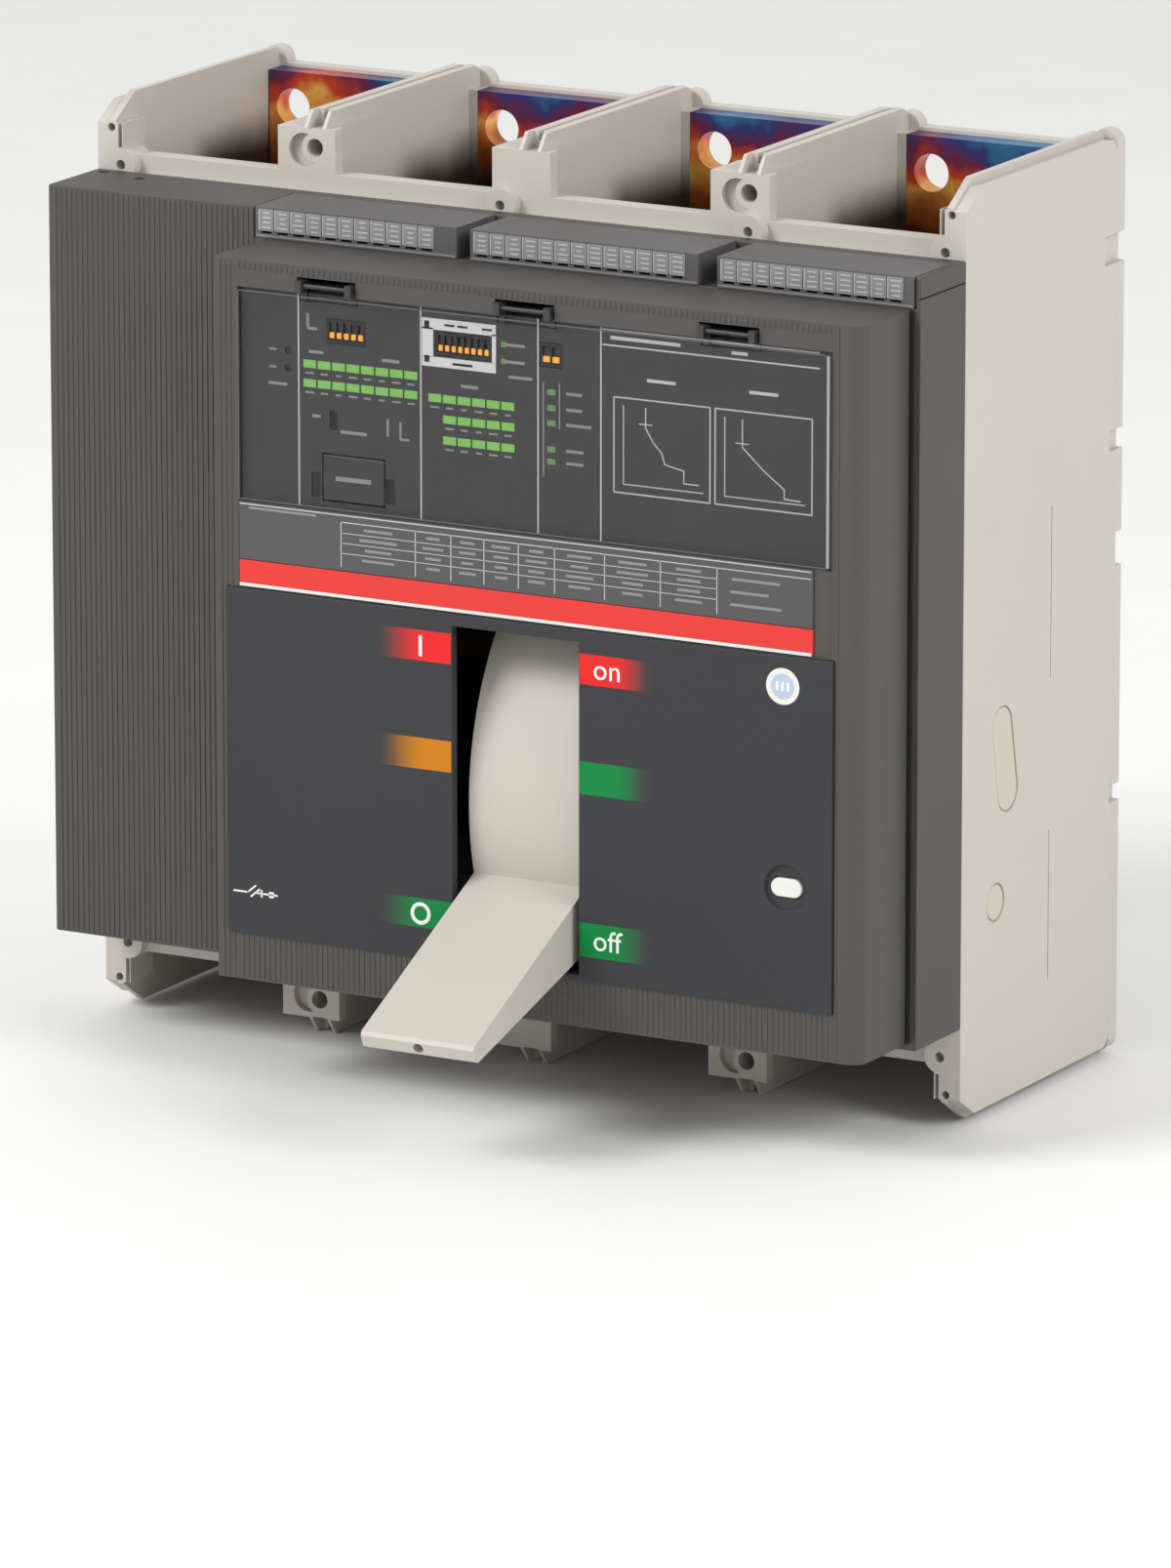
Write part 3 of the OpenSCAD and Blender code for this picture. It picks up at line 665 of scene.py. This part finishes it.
# Trip unit: printed separators, green squares, graphs and a pale switch surround. Rectangles are
# x, z, width and height; a row of squares is a count, its left edge and its z
tripUnit = {
    "face": -151.7, "separators": (-42.2, -2.8, 34.6, 54.5), "separatorZ": (35.6, 96.2), "line": 0.45,
    "headings": ((73.5, 82.4, 9, 0.9), (105.5, 82.4, 9, 0.9), (68.5, 93.4, 22, 1.0), (98, 92.9, 5, 0.9)),
    "headingLines": (95.6, 91.2), "headingX": (55.2, 122.6),
    "squareRows": ((8, -40.7, 74.8), (8, -40.7, 69.3), (6, -0.4, 69.2), (5, 4.3, 63.4), (5, 4.3, 57.4)),
    "squarePitch": 4.66, "squareStart": 2.1, "square": (4.1, 2.3), "squareRise": 1.4, "squareThick": 0.12,
    "caption": {"wide": 2.8, "step": 0.5, "high": 0.55, "drop": 1.2},
    "captions": (
        (-36.5, 79.8, 4.6, 0.8), (-12.5, 79.6, 5.5, 0.9), (-39.2, 88.5, 0.8, 4.2), (-37.7, 86.4, 3, 0.8),
        (-36.5, 61.5, 2.6, 0.9), (-24.5, 57.8, 8.5, 0.9), (-13.5, 60.5, 0.7, 5), (-9.4, 60, 0.7, 5),
        (-8, 57.6, 3, 0.7), (-50.5, 79.3, 2.2, 0.6), (-50.5, 74.3, 2.2, 0.6), (-49, 69.6, 6, 0.8),
        (12.8, 74.8, 5.5, 0.9), (27.4, 88, 6, 0.8), (27.4, 83.2, 6, 0.8), (29, 79, 7.5, 0.8)),
    "neutralX": 43.5, "neutralRows": ((76, 5), (71.5, 5), (67.2, 8), (59.8, 5.5), (56.3, 5.5)),
    "neutralLines": (((36.3, 52), (36.3, 78.5)), ((41.4, 66), (41.4, 78.5))),
    "tickX": 38.8, "tick": (2.6, 1.6), "upperTicks": ((23.7, 88, 1.6, 1.5), (23.7, 83.2, 1.6, 1.5)),
    "surround": (
        (9.4, 91.6, 23.6, 3.2), (9.4, 80.9, 23.6, 2.8), (-0.6, 86.3, 3.6, 8.4), (20.6, 86.3, 1.3, 8.4)),
    "surroundMarks": (
        (-0.8, 91.4, 1.6, 1.9), (-0.8, 81.6, 1.6, 1.9), (6.4, 91.6, 3.2, 0.6), (10.6, 91.6, 3.2, 0.6),
        (18.4, 91.6, 3.2, 0.6), (10.6, 80.8, 6.4, 0.7)),
    "slots": ((-38.1, 38.5, 2.6, 6.8), (-13.9, 38.8, 2.6, 6.8), (-32.1, 58.1, 2.2, 5.4)),
    "sunk": (0.25, 0.9),
    "socketX": -45.6, "socketZ": (74.3, 79.3), "socketR": 1.05,
    "plugLabel": (-24.5, 44.3, 11.5, 1.3), "plugFace": -152.0,
}
# two time-current graphs: a frame, two axes, a bent curve and a short cross stroke, from the frame's low corner
graphs = {
    "size": (30.2, 26.9), "low": 49.9, "frame": 0.4, "curve": 0.35, "thin": 0.3, "axisLow": (3, 2.5),
    "axisEnd": (28, 24.6), "cross": 2, "crossRise": 1,
    "left": (58.6, ((10, 24.5), (10, 19), (12.5, 15), (15, 12.6), (16, 9.4), (19.5, 8.6), (22, 8.2), (22, 4.6),
                    (26.5, 4.6))),
    "right": (90.4, ((8.5, 24.5), (8.5, 16.8), (15, 11), (21.6, 6.2), (21.6, 3.6), (26.5, 3.4))),
}


def graphLines(x, points, face):
    g = graphs
    low = g["low"]
    curve = [(x + a, low + b) for a, b in points]
    strokes = [printLine(curve[i], curve[i + 1], g["curve"], face) for i in range(len(curve) - 1)]
    corner = (x + g["axisLow"][0], low + g["axisLow"][1])
    strokes += [printLine(corner, (x + g["axisEnd"][0], corner[1]), g["thin"], face),
                printLine(corner, (corner[0], low + g["axisEnd"][1]), g["thin"], face)]
    bend = curve[1]
    strokes += [printLine((bend[0] - g["cross"], bend[1] + g["crossRise"]),
                          (bend[0] + g["cross"], bend[1] + g["crossRise"]), g["thin"], face)]
    return strokes


def printTripLines(face):
    t, g = tripUnit, graphs
    low, high = t["separatorZ"]
    lines = [printLine((x, low), (x, high), t["line"], face) for x in t["separators"]]
    for side in ("left", "right"):
        x = g[side][0]
        lines += printFrame((x, g["low"]), (x + g["size"][0], g["low"] + g["size"][1]), g["frame"], face)
    x0, x1 = t["headingX"]
    lines += [printLine((x0, z), (x1, z), t["line"], face) for z in t["headingLines"]]
    for side in ("left", "right"):
        lines += graphLines(*g[side], face)
    lines += [printRect(*heading, face) for heading in t["headings"]]
    printSheet("tripLines", lines, finishes["ink"])


def printTripMarks(face):
    t = tripUnit
    c = t["caption"]
    marks = []
    for count, x0, z in t["squareRows"]:
        marks += [printRect(x0 + t["squareStart"] + i * t["squarePitch"], z - c["drop"],
                            c["wide"] - (i % 3) * c["step"], c["high"], face) for i in range(count)]
    marks += [printRect(*caption, face) for caption in t["captions"]]
    marks += [printRect(t["neutralX"] + wide / 2, z, wide, 0.8, face) for z, wide in t["neutralRows"]]
    marks += [printLine(start, end, 0.35, face) for start, end in t["neutralLines"]]
    printSheet("tripMarks", marks, finishes["greyInk"])
    square = softenEdges(printRect(0, 0, *t["square"], face, t["squareThick"]), 0.04, 1)
    places = [(x0 + t["squareStart"] + i * t["squarePitch"], 0, z + t["squareRise"])
              for count, x0, z in t["squareRows"] for i in range(count)]
    finishPiece(copyAlong("greenSquares", square, places), finishes["green"], "case")
    ticks = [printRect(t["tickX"], z, *t["tick"], face) for z, wide in t["neutralRows"]]
    ticks += [printRect(*tick, face) for tick in t["upperTicks"]]
    printSheet("greenTicks", ticks, plainFinish("dull_green", linear(98, 130, 84), 0.5))


def printSurround(face):
    t = tripUnit
    printSheet("whiteSurround", [printRect(*bar, face) for bar in t["surround"]], finishes["surround"])
    dark = [printRect(*mark, face - 0.08) for mark in t["surroundMarks"]]
    # the slots and sockets are near-black boxes sunk behind the face: painted shade in their openings
    near, far = (face + depth for depth in t["sunk"])
    dark += [addBox("slot", (x, near, z), (x + wide, far, z + high)) for x, z, wide, high in t["slots"]]
    x = t["socketX"]
    dark += [addRod("socket", t["socketR"], (x, near, z), (x, far, z), 24) for z in t["socketZ"]]
    printSheet("darkMarks", dark, finishes["shade_and_ink_black"])


def makeTripUnit():
    softCopy("trip_unit_face", "tripFace", soft=0.25, segments=2)
    softCopy("test_plug", "testPlug", soft=0.5, segments=3)
    printTripLines(tripUnit["face"])
    printTripMarks(tripUnit["face"])
    printSurround(tripUnit["face"])
    printSheet("plugLabel", [printRect(*tripUnit["plugLabel"], tripUnit["plugFace"])], finishes["greyInk"])
    for group in ("long_time_sliders", "short_time_sliders", "neutral_sliders"):
        softCopy(group, group + "Soft", body=group, soft=0.12, segments=1)


makeTripUnit()
print("trip unit made")

# Clear cover: softened sheet, an opaque pale strip on its right edge as painted highlight and grey strips on
# the other three as painted shade
paintedEdgeLight = {"left": -60.5, "right": 126.6, "low": 36, "high": 95.4, "face": -153.97, "thick": 0.12,
             "edgeHighlight": (0.35, 0.45), "rimShade": (0.3, 0.05), "rimShadeHigh": 0.35, "rimShadeGap": 0.4}


def makeWindow():
    softCopy("window_cover", "clearCover", body="window_cover", soft=0.3, segments=2)
    e = paintedEdgeLight
    face, back = e["face"], e["face"] + e["thick"]
    inside, outside = e["edgeHighlight"]
    # the pale strip is a painted highlight on the right edge of the clear sheet
    edgeHighlight = addBox("paintedEdgeLight", (e["right"] - inside, face, e["low"]), (e["right"] + outside, back, e["high"]))
    edgeHighlightFinish = plainFinish("clear_edge_highlight", linear(150, 148, 152), 0.2)
    finishPiece(softenEdges(edgeHighlight, 0.04, 2), edgeHighlightFinish, "window_cover")
    # the grey strips are painted shade along the top, bottom and left edges
    out, over = e["rimShade"]
    rimShade = [addBox("edge", (e["left"], face, z), (e["right"] - e["rimShadeGap"], back, z + e["rimShadeHigh"]))
           for z in (e["low"] - out, e["high"])]
    rimShade.append(addBox("edge", (e["left"] - out, face, e["low"]), (e["left"] + over, back, e["high"])))
    rimShade = softenEdges(joinPieces("clearRimShade", rimShade), 0.04, 2)
    finishPiece(rimShade, plainFinish("clear_rim_shade", linear(84, 82, 86), 0.2), "window_cover")


makeWindow()
print("window made")

# Rating plate and red band: table lines, rows of print and the white rule
plate = {
    "face": -153.0, "left": -60.8, "right": 121, "topZ": 34.2, "tableTop": 32.2, "tableLow": 19.4,
    "rows": (20.4, 23.3, 26.2, 29.1, 32.0), "columns": (-28, -4, 7.4, 18, 29, 40.5, 56.4, 74, 91.8),
    "wordRise": 1.45, "wordHigh": 0.8, "wordShare": (0.35, 0.6),
    "sideWords": ((-47, 33.2, 22, 0.7), (104, 29.6, 15, 0.8), (102, 26, 12, 0.8), (104, 22.4, 16, 0.8)),
    "rule": (30.1, 10.9, 182.4, 0.9),
}


def makeLabels():
    p = plate
    face, rows, columns = p["face"], p["rows"], p["columns"]
    softCopy("rating_plate", "ratingPlate", soft=0.1, segments=1)
    softCopy("red_band", "redBand", soft=0.1, segments=1)
    lines = [printLine((p["left"], p["topZ"]), (p["right"], p["topZ"]), 0.4, face),
             printLine((columns[0], p["tableTop"]), (p["right"], p["tableTop"]), 0.3, face)]
    lines += [printLine((x, p["tableLow"]), (x, p["tableTop"]), 0.3, face) for x in columns]
    lines += [printLine((columns[0], z), (columns[-1], z), 0.22, face) for z in rows[1:4]]
    random.seed(7)
    words = []
    for z in rows[:4]:
        for x0, x1 in zip(columns, columns[1:]):
            width = (x1 - x0) * random.uniform(*p["wordShare"])
            words.append(printRect((x0 + x1) / 2, z + p["wordRise"], width, p["wordHigh"], face))
    words += [printRect(*word, face) for word in p["sideWords"]]
    printSheet("plateLines", lines, finishes["ink"])
    printSheet("plateWords", words, finishes["greyInk"])
    printSheet("whiteRule", [printRect(*p["rule"], face)], finishes["brightInk"])


makeLabels()
print("labels made")

# Connectors: softened blocks with a rail of pale marker cells
markers = {
    "blocks": (("connector_left", -71.6, -6.3), ("connector_middle", -1.9, 70.7),
               ("connector_right", 76.6, 138)),
    "face": -125.4, "pitch": 5.2, "first": 3.7, "margin": 3, "cell": 4.9, "low": 106.7, "high": 113.0,
    "proud": 0.25, "divider": (-2.25, 109.9, 0.4, 5.8), "strokeX": 0.2, "strokeZ": (112, 110.6, 109.2, 107.8),
    "strokeWide": (1.8, 3.6), "strokeHigh": 0.5, "ledgeZ": 105.3, "ledgeInset": 0.6,
}


def printMarkers(xs, face):
    m = markers
    random.seed(3)
    shift, middle, wide, high = m["divider"]
    strokes = []
    for x in xs:
        strokes.append(printRect(x + shift, middle, wide, high, face))
        for z in m["strokeZ"]:
            length = random.uniform(*m["strokeWide"])
            strokes.append(printRect(x + m["strokeX"], z, length, m["strokeHigh"], face))
    return strokes


def makeConnectors():
    m = markers
    face = m["face"]
    for node, x0, x1 in m["blocks"]:
        softCopy(node, node + "Soft", soft=0.35, segments=2)
        count = int((x1 - x0 - m["margin"]) / m["pitch"])
        xs = [x0 + m["first"] + i * m["pitch"] for i in range(count)]
        cell = addBox("cell", (-m["cell"] / 2, face - m["proud"], m["low"]), (m["cell"] / 2, face, m["high"]))
        cells = copyAlong(node + "Cells", softenEdges(cell, 0.15, 2), [(x, 0, 0) for x in xs])
        finishPiece(cells, plainFinish("marker_" + node, linear(134, 132, 134), 0.5), "case")
        printSheet(node + "Print", printMarkers(xs, face - m["proud"]), finishes["ink"])
        # a pale grey stripe along each block: painted highlight on the lit edge of the ledge under the marker
        # cells
        inset = m["ledgeInset"]
        ledgeHighlightStripe = [printLine((x0 + inset, m["ledgeZ"]), (x1 - inset, m["ledgeZ"]), 0.5, face)]
        printSheet(node + "Ledge", ledgeHighlightStripe, finishes["greyInk"])


makeConnectors()
print("connectors made")

# Floor, light and camera
studio = {
    "floorSize": 6.0, "floorGap": 0.0003, "skyLight": 0.75,
    "cameraPlace": (1.63016, -3.00307, 0.76696), "azimuth": 29.0, "elevation": 13.81,
    "lens": 276.6, "sensor": 36,
    "lampTarget": (0, -0.1, 0), "lampSize": 1.2,
    "lamps": (("key", (-1.4, -2.0, 1.9), 60), ("side", (2.4, -0.6, 1.4), 35)),
}


def makeStage():
    low = cadBounds[0][2] - studio["floorGap"]
    deselectAll()
    bpy.ops.mesh.primitive_plane_add(size=studio["floorSize"], location=(0, 0, low))
    floor = bpy.context.object
    floor.name = "floor"
    floor.data.materials.append(plainFinish("floor_paper", linear(236, 236, 234), 0.6))
    world = bpy.data.worlds.new("studio")
    bpy.context.scene.world = world
    world.use_nodes = True
    world.node_tree.nodes["Background"].inputs["Color"].default_value = (1, 1, 1, 1)
    world.node_tree.nodes["Background"].inputs["Strength"].default_value = studio["skyLight"]


def addLamp(name, place, power):
    deselectAll()
    bpy.ops.object.light_add(type="AREA", location=place)
    lamp = bpy.context.object
    lamp.name = name
    lamp.data.shape = "SQUARE"
    lamp.data.size = studio["lampSize"]
    lamp.data.energy = power
    lamp.rotation_euler = (Vector(studio["lampTarget"]) - Vector(place)).to_track_quat("-Z", "Y").to_euler()


def makeCamera():
    turn = (math.radians(90 - studio["elevation"]), 0, math.radians(studio["azimuth"]))
    deselectAll()
    bpy.ops.object.camera_add(location=studio["cameraPlace"], rotation=turn)
    camera = bpy.context.object
    camera.data.sensor_width = studio["sensor"]
    camera.data.lens = studio["lens"]
    camera.data.clip_end = 50
    bpy.context.scene.camera = camera


makeStage()
for lampName, lampPlace, lampPower in studio["lamps"]:
    addLamp(lampName, lampPlace, lampPower)
makeCamera()
bpy.context.scene.view_settings.view_transform = "Standard"
